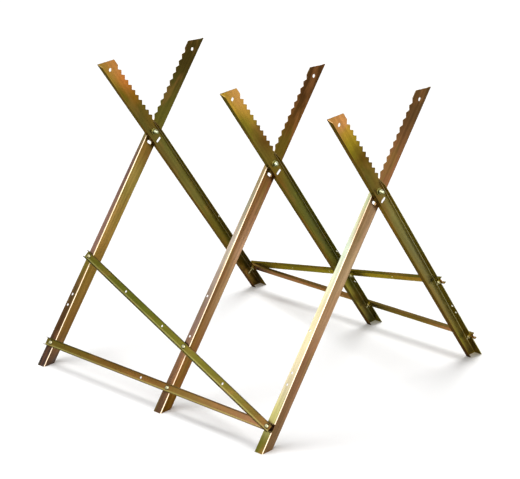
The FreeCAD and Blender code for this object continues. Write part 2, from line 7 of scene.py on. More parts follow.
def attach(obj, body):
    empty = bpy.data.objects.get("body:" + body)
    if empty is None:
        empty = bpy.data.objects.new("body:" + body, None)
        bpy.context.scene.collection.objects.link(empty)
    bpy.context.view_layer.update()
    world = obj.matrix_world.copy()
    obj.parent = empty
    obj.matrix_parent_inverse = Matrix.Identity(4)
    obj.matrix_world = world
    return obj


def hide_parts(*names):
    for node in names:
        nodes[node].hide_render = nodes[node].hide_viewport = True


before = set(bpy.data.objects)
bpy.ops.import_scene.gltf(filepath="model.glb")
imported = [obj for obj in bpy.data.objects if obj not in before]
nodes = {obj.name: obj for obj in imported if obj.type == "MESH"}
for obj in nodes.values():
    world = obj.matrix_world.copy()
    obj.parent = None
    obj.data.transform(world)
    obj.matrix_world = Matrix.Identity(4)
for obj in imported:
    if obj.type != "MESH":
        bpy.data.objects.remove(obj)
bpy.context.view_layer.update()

# ---- Front legs -----------------------------------------------------------------------
# Channels folded from 1.5 mm sheet steel, zinc plated and passivated yellow.  The film is
# thin, so it wanders from olive and gold to bronze and rose along each leg, and the bath
# leaves clouds and faint runs in it.  Its colours up each leg also carry painted reflection,
# darker in places and lighter in others where the metal mirrors its surroundings.  Handling
# rubs it pale along the edges and the teeth, and the outsides of the folds are painted pale,
# partly rubbed film and partly a painted highlight.


def shade(red, green, blue):
    """A colour from a chart of screen colours, 0 to 255, as the shaders take it."""
    parts = (part / 255 for part in (red, green, blue))
    linear = (
        part / 12.92 if part < 0.04045 else ((part + 0.055) / 1.055) ** 2.4 for part in parts
    )
    return (*linear, 1)


def put(tree, kind, inputs=(), **settings):
    """Adds a shader node; inputs gives its sockets a value or another node's output."""
    added = tree.nodes.new("ShaderNode" + kind)
    for name, value in settings.items():
        setattr(added, name, value)
    for name, value in dict(inputs).items():
        if isinstance(value, bpy.types.NodeSocket):
            tree.links.new(value, added.inputs[name])
        else:
            added.inputs[name].default_value = value
    return added


def maths(tree, operation, first, second=0.0):
    return put(tree, "Math", {0: first, 1: second}, operation=operation).outputs[0]


def blend_colours(tree, amount, under, over):
    return put(tree, "Mix", {0: amount, 6: under, 7: over}, data_type="RGBA").outputs[2]


def spread(tree, value, low, high, to_low=0.0, to_high=1.0):
    """Goes smoothly from to_low to to_high as the value goes from low to high."""
    limits = {"From Min": low, "From Max": high, "To Min": to_low, "To Max": to_high}
    ranged = put(tree, "MapRange", {"Value": value, **limits}, interpolation_type="SMOOTHSTEP")
    return ranged.outputs["Result"]


def clouds(tree, place, stretch, fineness, detail, shift=0.0):
    """Noise from 0 to 1, drawn out along each axis whose stretch is under 1."""
    stretched = put(
        tree, "Mapping", {"Vector": place, "Location": (shift, shift, shift), "Scale": stretch}
    )
    inputs = {"Vector": stretched.outputs[0], "Scale": fineness, "Detail": detail}
    return put(tree, "TexNoise", inputs).outputs[0]


def new_group(name, inputs, outputs):
    """A node group, its input node and its output node."""
    tree = bpy.data.node_groups.new(name, "ShaderNodeTree")
    for label, kind, value in inputs:
        socket = tree.interface.new_socket(
            name=label, in_out="INPUT", socket_type="NodeSocket" + kind
        )
        if value is not None:
            socket.default_value = value
    for label, kind in outputs:
        tree.interface.new_socket(name=label, in_out="OUTPUT", socket_type="NodeSocket" + kind)
    return tree, tree.nodes.new("NodeGroupInput"), tree.nodes.new("NodeGroupOutput")


# The passivated film: its thickness wanders, so a colour shifts towards a greener or a
# rosier one in clouds drawn out along the piece, with faint runs and fine mottling in it.
film, film_in, film_out = new_group(
    "zinc film",
    [
        ("Place", "Vector", None),
        ("Colour", "Color", None),
        ("Thick Film", "Color", shade(100, 104, 38)),
        ("Thin Film", "Color", shade(168, 112, 66)),
        ("Clouds", "Float", None),
        ("Runs", "Float", None),
    ],
    [("Colour", "Color"), ("Roughness", "Float"), ("Height", "Float")],
)
place = film_in.outputs["Place"]
broad = clouds(film, place, stretch=(1.5, 1, 0.3), fineness=22, detail=3)
other = clouds(film, place, stretch=(1.5, 1, 0.35), fineness=31, detail=3, shift=4.3)
mottle = clouds(film, place, stretch=(1, 1, 0.6), fineness=210, detail=4)
runs = clouds(film, place, stretch=(1, 1, 0.03), fineness=130, detail=3, shift=1.7)
grit = clouds(film, place, stretch=(1, 1, 1), fineness=1300, detail=1)
waves = clouds(film, place, stretch=(1, 1, 0.4), fineness=48, detail=2)

thick = maths(film, "MULTIPLY", spread(film, broad, 0.5, 0.68), film_in.outputs["Clouds"])
thin = maths(film, "MULTIPLY", spread(film, other, 0.5, 0.7), film_in.outputs["Clouds"])
tinted = blend_colours(film, thick, film_in.outputs["Colour"], film_in.outputs["Thick Film"])
tinted = blend_colours(film, thin, tinted, film_in.outputs["Thin Film"])

RUN_DEPTH, MOTTLE_DEPTH, GRIT_DEPTH = 0.5, 0.07, 0.05
run_tone = spread(film, runs, 0.3, 0.7, -RUN_DEPTH, RUN_DEPTH)
run_tone = maths(film, "MULTIPLY", run_tone, film_in.outputs["Runs"])
mottle_tone = spread(film, mottle, 0.25, 0.75, -MOTTLE_DEPTH, MOTTLE_DEPTH)
grit_tone = spread(film, grit, 0.62, 0.8, 0, GRIT_DEPTH)
streaks = maths(film, "ADD", run_tone, mottle_tone)
speckle = maths(film, "ADD", grit_tone, 1.0)
tone = maths(film, "ADD", streaks, speckle)
toned = put(film, "VectorMath", {0: tinted, "Scale": tone}, operation="SCALE")
film.links.new(toned.outputs[0], film_out.inputs["Colour"])

PLATE_ROUGHNESS = 0.3
cloudy_gloss = spread(film, broad, 0.3, 0.7, -0.04, 0.05)
mottled_gloss = spread(film, mottle, 0.3, 0.7, -0.02, 0.02)
gloss = maths(film, "ADD", cloudy_gloss, mottled_gloss)
film.links.new(maths(film, "ADD", gloss, PLATE_ROUGHNESS), film_out.inputs["Roughness"])

WAVE_HEIGHT, MOTTLE_HEIGHT = 0.8, 0.2
swell = maths(film, "MULTIPLY", waves, WAVE_HEIGHT)
ripple = maths(film, "MULTIPLY", mottle, MOTTLE_HEIGHT)
film.links.new(maths(film, "ADD", swell, ripple), film_out.inputs["Height"])

# Rubbed edges: handling and sliding wear the film pale where a fold or a cut edge stands
# out, more in some places than in others.
wear, wear_in, wear_out = new_group(
    "rubbed edges",
    [("Place", "Vector", None), ("Width", "Float", None), ("Amount", "Float", None)],
    [("Mask", "Float")],
)
rounded = put(wear, "Bevel", {"Radius": wear_in.outputs["Width"]}, samples=6).outputs[0]
flat = put(wear, "NewGeometry").outputs["True Normal"]
agreement = put(wear, "VectorMath", {0: rounded, 1: flat}, operation="DOT_PRODUCT")
edge = spread(wear, agreement.outputs["Value"], 0.97, 0.8)
patches = clouds(wear, wear_in.outputs["Place"], stretch=(1, 1, 0.5), fineness=130, detail=4)
rubbed = maths(wear, "MULTIPLY", edge, spread(wear, patches, 0.35, 0.65, 0.25, 1.0))
rubbed = maths(wear, "MULTIPLY", rubbed, wear_in.outputs["Amount"])
wear.links.new(rubbed, wear_out.inputs["Mask"])


def zinc_steel(name):
    """A material for plated steel, its tree, its shader and the place on the piece."""
    material = bpy.data.materials.new(name)
    material.use_nodes = True
    tree = material.node_tree
    shader = tree.nodes["Principled BSDF"]
    shader.inputs["Metallic"].default_value = 0.94
    shader.inputs["Specular Tint"].default_value = shade(150, 136, 96)
    return material, tree, shader, put(tree, "TexCoord").outputs


def finish_zinc(
    tree, shader, place, colour, cloudy, runny, worn, worn_colour, worn_width=0.0009, bump=0.05
):
    """Lays the film over a colour and rubs its edges."""
    coat = put(
        tree, "Group", {"Place": place, "Colour": colour, "Clouds": cloudy, "Runs": runny},
        node_tree=film,
    ).outputs
    rub = put(
        tree, "Group", {"Place": place, "Width": worn_width, "Amount": worn}, node_tree=wear
    ).outputs
    seen = blend_colours(tree, rub["Mask"], coat["Colour"], shade(*worn_colour))
    bumps = put(tree, "Bump", {"Strength": bump, "Distance": 0.0012, "Height": coat["Height"]})
    tree.links.new(seen, shader.inputs["Base Color"])
    tree.links.new(coat["Roughness"], shader.inputs["Roughness"])
    tree.links.new(bumps.outputs[0], shader.inputs["Normal"])


def stops(tree, distance, colours):
    """A run of colours over a metre, each given with its distance in metres."""
    ramp = put(tree, "ValToRGB", {"Fac": distance})
    ramp.color_ramp.interpolation = "EASE"
    elements = ramp.color_ramp.elements
    while len(elements) < len(colours):
        elements.new(0.5)
    for element, (at, colour) in zip(elements, colours):
        element.position = at
        element.color = shade(*colour)
    return ramp.outputs["Color"]


# A leg's own frame: its pivot's height, its lean from upright, and the foot below the pivot.
PIVOT_HEIGHT = 0.5584
LEG_LEAN = math.radians(36.87)
FOOT_BELOW_PIVOT = 0.7
# Where one colour gives way to the next: across the web, and between the two flanges.
WEB_CHANGE = (-0.022, 0.014)
FLANGE_CHANGE = (-0.012, -0.002)
# How far a surface has turned towards the log's line, from 0 on a flange to 1 on the web:
# where the web's colours start, and where the outside of the bend, rubbed pale and carrying
# a painted highlight, starts and ends.
WEB_TURN = (0.1, 0.5)
BEND_START = (0.2, 0.45)
BEND_END = (0.97, 0.8)
# The bend's pale colour: partly rubbed film, partly a painted highlight on the fold.
BEND_RUB_AND_HIGHLIGHT = (226, 206, 180)
RUBBED_EDGE = (228, 208, 150)


def leg_finish(
    name, lean, cloudy, runny, shine_and_wear, long_side, brace_side, brace_flange, long_flange
):
    """Film colours up a leg from its foot: its web beside each edge, then its two flanges.

    Folding and handling rub the outside of a bend pale, and a painted highlight lies on it
    too, both as strong as the leg's shine and wear amount.
    """
    material, tree, shader, coordinates = zinc_steel(name)
    pivot = {"Location": (0, 0, PIVOT_HEIGHT), "Rotation": (lean, 0, 0)}
    along = put(
        tree, "Mapping", {"Vector": coordinates["Object"], **pivot}, vector_type="TEXTURE"
    ).outputs[0]
    _, across, up = put(tree, "SeparateXYZ", {0: along}).outputs
    height = maths(tree, "ADD", up, FOOT_BELOW_PIVOT)
    if lean < 0:
        across = maths(tree, "MULTIPLY", across, -1)
    web = blend_colours(
        tree, spread(tree, across, *WEB_CHANGE),
        stops(tree, height, long_side), stops(tree, height, brace_side),
    )
    flanges = blend_colours(
        tree, spread(tree, across, *FLANGE_CHANGE),
        stops(tree, height, long_flange), stops(tree, height, brace_flange),
    )
    facing = put(tree, "SeparateXYZ", {0: coordinates["Normal"]}).outputs[0]
    turn = maths(tree, "ABSOLUTE", facing)
    sheet = blend_colours(tree, spread(tree, turn, *WEB_TURN), flanges, web)
    bend = maths(
        tree, "MULTIPLY", spread(tree, turn, *BEND_START), spread(tree, turn, *BEND_END)
    )
    # Painted highlight and rubbed film: the outside of the bend is blended towards pale.
    rubbed_and_highlit_bend = maths(tree, "MULTIPLY", bend, shine_and_wear)
    sheet = blend_colours(tree, rubbed_and_highlit_bend, sheet, shade(*BEND_RUB_AND_HIGHLIGHT))
    finish_zinc(
        tree, shader, along, sheet, cloudy, runny, worn=shine_and_wear / 2, worn_colour=RUBBED_EDGE
    )
    return material


def plate(node, material):
    node.data.materials.clear()
    node.data.materials.append(material)


# Colours at their distances up each leg: the web on the long flange's side and on the
# braces' side, the flange that carries the braces, and the long flange.  They are partly the
# film's own colours and partly painted reflection, darker in places and lighter in others
# where the metal mirrors its surroundings.
FRONT_LEG_COLOURS = {
    1: {
        "long_side": (
            (0.02, (93, 80, 72)), (0.12, (125, 91, 47)), (0.30, (133, 103, 47)),
            (0.44, (175, 138, 71)), (0.55, (149, 129, 63)), (0.65, (111, 86, 36)),
            (0.74, (92, 86, 34)), (0.93, (66, 54, 22)),
        ),
        "brace_side": (
            (0.02, (104, 72, 43)), (0.12, (123, 90, 40)), (0.30, (128, 102, 42)),
            (0.44, (178, 142, 77)), (0.55, (155, 133, 69)), (0.65, (130, 99, 44)),
            (0.74, (92, 86, 34)), (0.93, (66, 54, 22)),
        ),
        "brace_flange": (
            (0.02, (63, 51, 50)), (0.12, (84, 59, 38)), (0.23, (95, 74, 43)),
            (0.30, (113, 99, 41)), (0.34, (134, 104, 91)), (0.44, (134, 104, 91)),
            (0.58, (116, 90, 80)), (0.74, (120, 110, 50)), (0.93, (120, 96, 48)),
        ),
        "long_flange": (
            (0.02, (120, 92, 50)), (0.30, (140, 118, 60)), (0.62, (150, 130, 66)),
            (0.93, (110, 88, 40)),
        ),
    },
    2: {
        "long_side": (
            (0.02, (116, 82, 28)), (0.15, (133, 90, 50)), (0.37, (162, 130, 93)),
            (0.47, (189, 150, 117)), (0.58, (161, 116, 85)), (0.65, (130, 85, 52)),
            (0.74, (96, 66, 26)), (0.93, (76, 50, 28)),
        ),
        "brace_side": (
            (0.02, (104, 71, 23)), (0.15, (116, 85, 34)), (0.37, (125, 88, 51)),
            (0.47, (142, 102, 63)), (0.58, (124, 89, 50)), (0.65, (123, 84, 46)),
            (0.74, (96, 66, 26)), (0.93, (76, 50, 28)),
        ),
        "brace_flange": (
            (0.02, (93, 68, 48)), (0.12, (108, 79, 56)), (0.27, (111, 90, 79)),
            (0.37, (135, 120, 108)), (0.44, (156, 144, 131)), (0.58, (117, 118, 101)),
            (0.74, (140, 102, 64)), (0.93, (120, 84, 50)),
        ),
        "long_flange": (
            (0.02, (120, 88, 48)), (0.30, (146, 110, 66)), (0.62, (150, 116, 72)),
            (0.93, (110, 78, 44)),
        ),
    },
    3: {
        "long_side": (
            (0.05, (128, 101, 73)), (0.23, (152, 112, 84)), (0.36, (178, 142, 109)),
            (0.50, (179, 151, 116)), (0.58, (170, 138, 107)), (0.66, (163, 132, 100)),
            (0.74, (140, 96, 64)), (0.93, (92, 68, 44)),
        ),
        "brace_side": (
            (0.05, (113, 86, 56)), (0.23, (128, 93, 65)), (0.36, (150, 118, 84)),
            (0.50, (151, 125, 89)), (0.58, (143, 114, 81)), (0.66, (143, 112, 77)),
            (0.74, (140, 96, 64)), (0.93, (92, 68, 44)),
        ),
        "brace_flange": (
            (0.02, (94, 87, 32)), (0.09, (167, 161, 100)), (0.18, (163, 152, 124)),
            (0.35, (173, 164, 130)), (0.55, (167, 175, 155)), (0.65, (172, 177, 141)),
            (0.80, (150, 118, 76)), (0.93, (130, 102, 64)),
        ),
        "long_flange": (
            (0.02, (130, 96, 56)), (0.30, (160, 124, 82)), (0.62, (164, 130, 90)),
            (0.93, (130, 98, 62)),
        ),
    },
}
for pair, colours in FRONT_LEG_COLOURS.items():
    zinc = leg_finish(
        f"front leg {pair} zinc", -LEG_LEAN, cloudy=0.3, runny=0.36, shine_and_wear=0.75, **colours
    )
    plate(nodes[f"front_leg_{pair}"], zinc)

# ---- Rear legs ------------------------------------------------------------------------
# The same pressing turned half round.  Their colours, dark olive and brown low down and
# amber to gold at their toothed tops, are partly the film's own and partly a painted dark
# reflection of their surroundings.

REAR_LEG_COLOURS = {
    1: {
        "long_side": (
            (0.02, (92, 70, 30)), (0.15, (94, 72, 24)), (0.30, (101, 86, 30)),
            (0.44, (113, 104, 49)), (0.62, (101, 84, 39)), (0.76, (91, 83, 36)),
            (0.87, (104, 94, 25)), (0.94, (160, 127, 49)),
        ),
        "brace_side": (
            (0.02, (88, 74, 32)), (0.20, (90, 90, 34)), (0.44, (107, 101, 48)),
            (0.62, (106, 104, 49)), (0.74, (102, 81, 31)), (0.79, (96, 80, 30)),
            (0.83, (128, 88, 24)), (0.90, (187, 115, 51)), (0.94, (186, 127, 65)),
        ),
        "brace_flange": (
            (0.02, (150, 129, 67)), (0.30, (167, 150, 81)), (0.60, (172, 157, 89)),
            (0.93, (158, 129, 59)),
        ),
        "long_flange": (
            (0.02, (92, 78, 34)), (0.30, (104, 92, 38)), (0.62, (108, 96, 40)),
            (0.93, (96, 88, 36)),
        ),
    },
    2: {
        "long_side": (
            (0.02, (81, 77, 38)), (0.15, (142, 131, 55)), (0.37, (100, 92, 34)),
            (0.55, (94, 87, 35)), (0.66, (104, 75, 27)), (0.76, (108, 90, 40)),
            (0.87, (106, 103, 28)), (0.94, (182, 146, 52)),
        ),
        "brace_side": (
            (0.02, (143, 141, 85)), (0.20, (80, 88, 38)), (0.40, (96, 103, 60)),
            (0.55, (101, 103, 49)), (0.68, (117, 100, 43)), (0.78, (96, 58, 27)),
            (0.82, (104, 84, 30)), (0.86, (152, 126, 44)), (0.90, (184, 142, 58)),
            (0.94, (200, 150, 78)),
        ),
        "brace_flange": (
            (0.02, (143, 131, 63)), (0.30, (158, 149, 77)), (0.60, (161, 148, 78)),
            (0.93, (151, 128, 55)),
        ),
        "long_flange": (
            (0.02, (88, 78, 34)), (0.30, (98, 92, 38)), (0.62, (104, 96, 40)),
            (0.93, (98, 92, 38)),
        ),
    },
    3: {
        "long_side": (
            (0.02, (100, 76, 37)), (0.09, (131, 122, 48)), (0.20, (124, 104, 55)),
            (0.58, (112, 101, 54)), (0.65, (117, 90, 45)), (0.78, (88, 79, 39)),
            (0.82, (98, 80, 28)), (0.85, (118, 106, 34)), (0.89, (152, 136, 38)),
            (0.92, (166, 136, 50)), (0.95, (186, 136, 74)),
        ),
        "brace_side": (
            (0.02, (178, 164, 85)), (0.20, (140, 138, 89)), (0.45, (130, 129, 86)),
            (0.60, (139, 133, 79)), (0.74, (112, 92, 44)), (0.82, (97, 72, 28)),
            (0.85, (116, 96, 34)), (0.88, (150, 126, 40)), (0.92, (178, 140, 52)),
            (0.94, (198, 140, 82)),
        ),
        "brace_flange": (
            (0.02, (143, 126, 63)), (0.30, (160, 148, 77)), (0.60, (163, 149, 79)),
            (0.93, (155, 125, 55)),
        ),
        "long_flange": (
            (0.02, (92, 76, 34)), (0.30, (104, 90, 40)), (0.62, (108, 94, 42)),
            (0.93, (104, 90, 38)),
        ),
    },
}
for pair, colours in REAR_LEG_COLOURS.items():
    zinc = leg_finish(
        f"rear leg {pair} zinc", LEG_LEAN, cloudy=0.2, runny=0.2, shine_and_wear=0.15, **colours
    )
    plate(nodes[f"rear_leg_{pair}"], zinc)

# ---- Braces ---------------------------------------------------------------------------
# Shallow channels folded from the same sheet and plated in the same bath, bolted flat on
# the legs' flanges.  Each runs through its own colours from one end pair to the other.

# Where distances along a brace start: X at the first pair of legs.
FIRST_END = -0.425
# Distances from a brace's centre line: where its web turns into its folds, and the edges of
# the painted highlight, a paler strip just above its lower fold.
FOLD = (0.0072, 0.0096)
HIGHLIGHT_UPPER_EDGE = (0.0035, 0.0068)
HIGHLIGHT_LOWER_EDGE = (0.0094, 0.0080)
HIGHLIGHT_STRENGTH = 0.4


def brace_finish(name, lean, start, climb, web, folded):
    """Film colours along a brace: its web, a painted highlight just above the lower fold, and
    its folds darkened as painted shade.

    start is the centre line's height from the pivots at the first end, climb its slope.
    """
    material, tree, shader, coordinates = zinc_steel(name)
    end = {"Location": (FIRST_END, 0, PIVOT_HEIGHT), "Rotation": (lean, 0, 0)}
    from_end = put(
        tree, "Mapping", {"Vector": coordinates["Object"], **end}, vector_type="TEXTURE"
    ).outputs[0]
    distance, across, up = put(tree, "SeparateXYZ", {0: from_end}).outputs
    lengthwise = put(tree, "CombineXYZ", {0: up, 1: across, 2: distance}).outputs[0]
    centre_line = maths(tree, "ADD", maths(tree, "MULTIPLY", distance, climb), start)
    below = maths(tree, "SUBTRACT", centre_line, up)
    # Painted shade: the folds take the darker colours.
    fold_shade_mask = spread(tree, maths(tree, "ABSOLUTE", below), *FOLD)
    sheet = blend_colours(
        tree, fold_shade_mask, stops(tree, distance, web), stops(tree, distance, folded)
    )
    # Painted highlight: a paler strip just above the lower fold.
    strip = maths(
        tree, "MULTIPLY", spread(tree, below, *HIGHLIGHT_UPPER_EDGE), spread(tree, below, *HIGHLIGHT_LOWER_EDGE)
    )
    painted_highlight = maths(tree, "MULTIPLY", strip, HIGHLIGHT_STRENGTH)
    sheet = blend_colours(tree, painted_highlight, sheet, shade(190, 184, 112))
    finish_zinc(
        tree, shader, lengthwise, sheet,
        cloudy=0.22, runny=0.16, worn=0.35, worn_colour=(206, 190, 124),
    )
    return material


# Each brace's folds take darker colours, as painted shade.
BRACE_COLOURS = {
    "front_lower_brace": {
        "web": (
            (0.02, (102, 90, 34)), (0.12, (106, 84, 32)), (0.24, (112, 82, 36)),
            (0.42, (122, 88, 42)), (0.62, (133, 98, 58)), (0.82, (135, 98, 72)),
        ),
        "folded": ((0.02, (62, 56, 20)), (0.42, (84, 62, 34)), (0.82, (92, 66, 44))),
    },
    "front_diagonal_brace": {
        "web": (
            (0.02, (96, 92, 30)), (0.25, (86, 88, 28)), (0.50, (104, 98, 34)),
            (0.68, (108, 96, 38)), (0.82, (104, 78, 38)), (0.92, (128, 116, 52)),
        ),
        "folded": ((0.02, (48, 46, 16)), (0.50, (54, 50, 18)), (0.82, (62, 48, 22))),
    },
    "rear_lower_brace": {
        "web": (
            (0.02, (190, 146, 116)), (0.15, (184, 136, 110)), (0.35, (166, 126, 94)),
            (0.52, (132, 114, 68)), (0.66, (134, 114, 68)), (0.78, (188, 140, 108)),
            (0.84, (176, 126, 94)),
        ),
        "folded": ((0.02, (112, 86, 44)), (0.50, (92, 72, 36)), (0.82, (104, 84, 42))),
    },
    "rear_diagonal_brace": {
        "web": (
            (0.02, (146, 128, 56)), (0.35, (153, 143, 56)), (0.62, (168, 149, 62)),
            (0.82, (171, 129, 72)),
        ),
        "folded": ((0.02, (104, 92, 36)), (0.82, (96, 88, 38))),
    },
}
BRACE_LINES = {
    "front_lower_brace": {"lean": -LEG_LEAN, "start": -0.6345, "climb": 0},
    "front_diagonal_brace": {"lean": -LEG_LEAN, "start": -0.3759, "climb": -0.3217},
    "rear_lower_brace": {"lean": LEG_LEAN, "start": -0.6215, "climb": 0},
    "rear_diagonal_brace": {"lean": LEG_LEAN, "start": -0.6355, "climb": 0.3051},
}
for name, colours in BRACE_COLOURS.items():
    zinc = brace_finish(name.replace("_", " ") + " zinc", **BRACE_LINES[name], **colours)
    plate(nodes[name], zinc)

# ---- Brace bolts ----------------------------------------------------------------------
# Cup head bolts of 6 mm, threaded up to the head, through a brace and a leg's flange.  Each
# is held by a hexagon nut inside the leg.  They are plated paler than the sheet.


def take_up(piece):
    bpy.ops.object.select_all(action="DESELECT")
    piece.select_set(True)
    bpy.context.view_layer.objects.active = piece


def smooth(piece, angle):
    take_up(piece)
    bpy.ops.object.shade_smooth_by_angle(angle=math.radians(angle))


def combine(piece, tool, operation):
    """Cuts a piece with a tool, or joins the tool to it, and puts the tool away."""
    cutter = piece.modifiers.new(tool.name, "BOOLEAN")
    cutter.object = tool
    cutter.operation = operation
    take_up(piece)
    bpy.ops.object.modifier_apply(modifier=cutter.name)
    bpy.data.objects.remove(tool)


def turned_piece(name, sections, sides=28):
    """A turned piece about Z, from the centre of one end through each radius and height."""
    (radius, height), *others = sections
    bpy.ops.object.select_all(action="DESELECT")
    bpy.ops.mesh.primitive_circle_add(
        vertices=sides, radius=radius, fill_type="NGON", location=(0, 0, height)
    )
    piece = bpy.context.object
    piece.name = name
    bpy.ops.object.transform_apply(location=True, rotation=True, scale=True)
    bpy.ops.object.mode_set(mode="EDIT")
    bpy.ops.mesh.select_all(action="SELECT")
    for next_radius, next_height in others:
        rise = (0, 0, next_height - height)
        bpy.ops.mesh.extrude_region_move(TRANSFORM_OT_translate={"value": rise})
        grow = next_radius / radius
        bpy.ops.transform.resize(value=(grow, grow, 1))
        radius, height = next_radius, next_height
    bpy.ops.mesh.select_all(action="SELECT")
    bpy.ops.mesh.normals_make_consistent(inside=False)
    bpy.ops.object.mode_set(mode="OBJECT")
    return piece


def half_corners(flats):
    """Half the width of a hexagon over its corners, from its width over flats."""
    return flats / math.cos(math.radians(30)) / 2


def hexagon_blank(flats, height, turned_by=0):
    bpy.ops.object.select_all(action="DESELECT")
    bpy.ops.mesh.primitive_cylinder_add(
        vertices=6, radius=half_corners(flats), depth=height,
        location=(0, 0, height / 2), rotation=(0, 0, turned_by),
    )
    blank = bpy.context.object
    bpy.ops.object.transform_apply(location=True, rotation=True, scale=True)
    return blank


def thread(core, crest, pitch, start, end):
    """Roots and crests of a thread, from its start up to its end."""
    turns = int((end - start) / pitch)
    rings = []
    for turn in range(turns):
        rings += [(crest, start + turn * pitch), (core, start + (turn + 0.5) * pitch)]
    return rings + [(crest, start + turns * pitch)]


def cup_head_bolt(name, length):
    """Its head stands on Z = 0; the head's dome is part of a sphere above a narrow rim."""
    head, rise, rim = 0.00625, 0.0038, 0.001
    shank, core, pitch = 0.003, 0.00255, 0.001
    crown = rise - rim
    sphere = (head ** 2 + crown ** 2) / (2 * crown)
    dome = [
        (math.sqrt(sphere ** 2 - (sphere - rise + height) ** 2), height)
        for height in (rim + crown * part for part in (0.06, 0.3, 0.52, 0.7, 0.84, 0.93, 0.98))
    ]
    point = [(shank - 0.0008, -length), (shank - 0.0003, 0.0004 - length)]
    turns = thread(core, shank, pitch, start=0.0009 - length, end=-0.0028)
    neck = [(shank, -0.0001), (shank + 0.0004, 0)]
    edge = [(head - 0.0003, 0), (head, 0.0003), (head, rim - 0.0002)]
    bolt = turned_piece(name, point + turns + neck + edge + dome)
    smooth(bolt, 35)
    return bolt


# The flat end inside a chamfer, its radius as a part of the width over flats.
CHAMFERED_END = 0.475


def hexagon_nut(name, flats, height, bore, top):
    """A nut on its seat, chamfered below and countersunk at its bore; top shapes its upper end.

    top gives radii as parts of the width over flats, and heights as parts of the height.
    """
    nut = hexagon_blank(flats, height, turned_by=math.pi / 6)
    nut.name = name
    seat = [(flats * CHAMFERED_END, 0), (half_corners(flats) + 0.0001, flats * 0.035)]
    chamfers = turned_piece(
        "chamfers", seat + [(flats * wide, height * high) for wide, high in top], sides=48
    )
    hole, mouth, sink, past = bore * 0.5, bore * 0.56, 0.0005, 0.0001
    drill = turned_piece(
        "drill", [(mouth, -past), (hole, sink), (hole, height - sink), (mouth, height + past)]
    )
    combine(nut, chamfers, "INTERSECT")
    combine(nut, drill, "DIFFERENCE")
    smooth(nut, 25)
    return nut


def plated_fastener(name, dark, pale, worn):
    """Zinc plate on a fastener, yellower in some places than in others, with painted light:
    paler on its upward faces and darker on its downward ones.
    """
    material, tree, shader, coordinates = zinc_steel(name)
    place = coordinates["Object"]
    tint = clouds(tree, place, stretch=(1, 1, 1), fineness=120, detail=3)
    # Painted light: faces turned up are painted paler, faces turned down darker.
    upward = put(tree, "SeparateXYZ", {0: coordinates["Normal"]}).outputs[2]
    painted_top_light = maths(tree, "MULTIPLY", upward, 0.5)
    tint_and_painted_light = maths(tree, "ADD", tint, painted_top_light)
    plated = blend_colours(
        tree, spread(tree, tint_and_painted_light, 0.3, 0.75), shade(*dark), shade(*pale)
    )
    finish_zinc(
        tree, shader, place, plated, cloudy=0.2, runny=0.1,
        worn=worn, worn_colour=(214, 208, 176), worn_width=0.0005, bump=0.03,
    )
    return material


def stand_in_place(model, node, out, body, finish):
    """Copies a model onto a CAD node: its Z along out, its highest point where the node's is."""
    points = [vertex.co for vertex in nodes[node].data.vertices]
    crosswise = Vector((1, 0, 0)) if abs(out.x) < 0.5 else Vector((0, 1, 0))
    side = out.cross(crosswise).normalized()
    other = out.cross(side)

    def middle(direction):
        reach = [point.dot(direction) for point in points]
        return (min(reach) + max(reach)) / 2

    top = max(point.dot(out) for point in points)
    model_top = max(vertex.co.z for vertex in model.data.vertices)
    origin = side * middle(side) + other * middle(other) + out * (top - model_top)
    turned = Matrix((side, other, out)).transposed().to_4x4()
    piece = bpy.data.objects.new(node + "_fitted", model.data.copy())
    piece.data.transform(Matrix.Translation(origin) @ turned)
    bpy.context.scene.collection.objects.link(piece)
    plate(piece, finish)
    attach(piece, body)
    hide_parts(node)


CHAMFERED = ((0.578, 0.93), (CHAMFERED_END, 1.0))
short_bolt = cup_head_bolt("short bolt", 0.015)
long_bolt = cup_head_bolt("long bolt", 0.035)
small_nut = hexagon_nut("small nut", flats=0.010, height=0.0052, bore=0.0061, top=CHAMFERED)
bolt_finish = plated_fastener("pale zinc", (128, 124, 84), (176, 172, 136), worn=0.3)

# The braces' flange isn't quite along the leg: its fold is 18.3 mm from the leg's line at
# the pivot and 4.7 mm from it at the foot, 698 mm down.  The bolts stand square on it.
FLANGE_TILT = math.atan((0.0183 - 0.0047) / 0.698)
BOLT_LEAN = LEG_LEAN - FLANGE_TILT
for side, sign in (("front", -1), ("rear", 1)):
    out = Vector((0, sign * math.cos(BOLT_LEAN), math.sin(BOLT_LEAN)))
    for part in ("lower_{}_a", "lower_{}_b", "diagonal_{}_a", "diagonal_{}_b", "shared_{}"):
        bolt_node = f"{side}_{part.format('bolt')}"
        nut_node = f"{side}_{part.format('nut')}"
        for model, node, towards in (
            (long_bolt if part.startswith("shared") else short_bolt, bolt_node, out),
            (small_nut, nut_node, -out),
        ):
            stand_in_place(model, node, towards, f"{side}_set", bolt_finish)
for model in (short_bolt, long_bolt, small_nut):
    bpy.data.objects.remove(model)

# ---- Pivots ---------------------------------------------------------------------------
# Hexagon bolts of 8 mm with a washer under the head and one under the nut, one through the
# webs of each pair of legs.  The nuts are tightened on the rear legs.


def hexagon_bolt(name, length):
    """Its head stands on Z = 0 and its shank, threaded almost up to it, hangs below."""
    flats, height = 0.013, 0.0053
    shank, core, pitch = 0.004, 0.0034, 0.00125
    point = [(shank - 0.0009, -length), (shank - 0.0004, 0.0005 - length)]
    turns = thread(core, shank, pitch, start=0.001 - length, end=-0.0055)
    bolt = turned_piece(name, point + turns + [(shank, -0.005), (shank, 0.001)])
    head = hexagon_blank(flats, height)
    wide, end = half_corners(flats) * 2, flats * CHAMFERED_END
    crown = turned_piece(
        "crown",
        [(flats * 0.49, 0), (wide, 0.0002), (wide, height - 0.0012), (end, height)],
        sides=48,
    )
    combine(head, crown, "INTERSECT")
    combine(bolt, head, "UNION")
    smooth(bolt, 25)
    return bolt


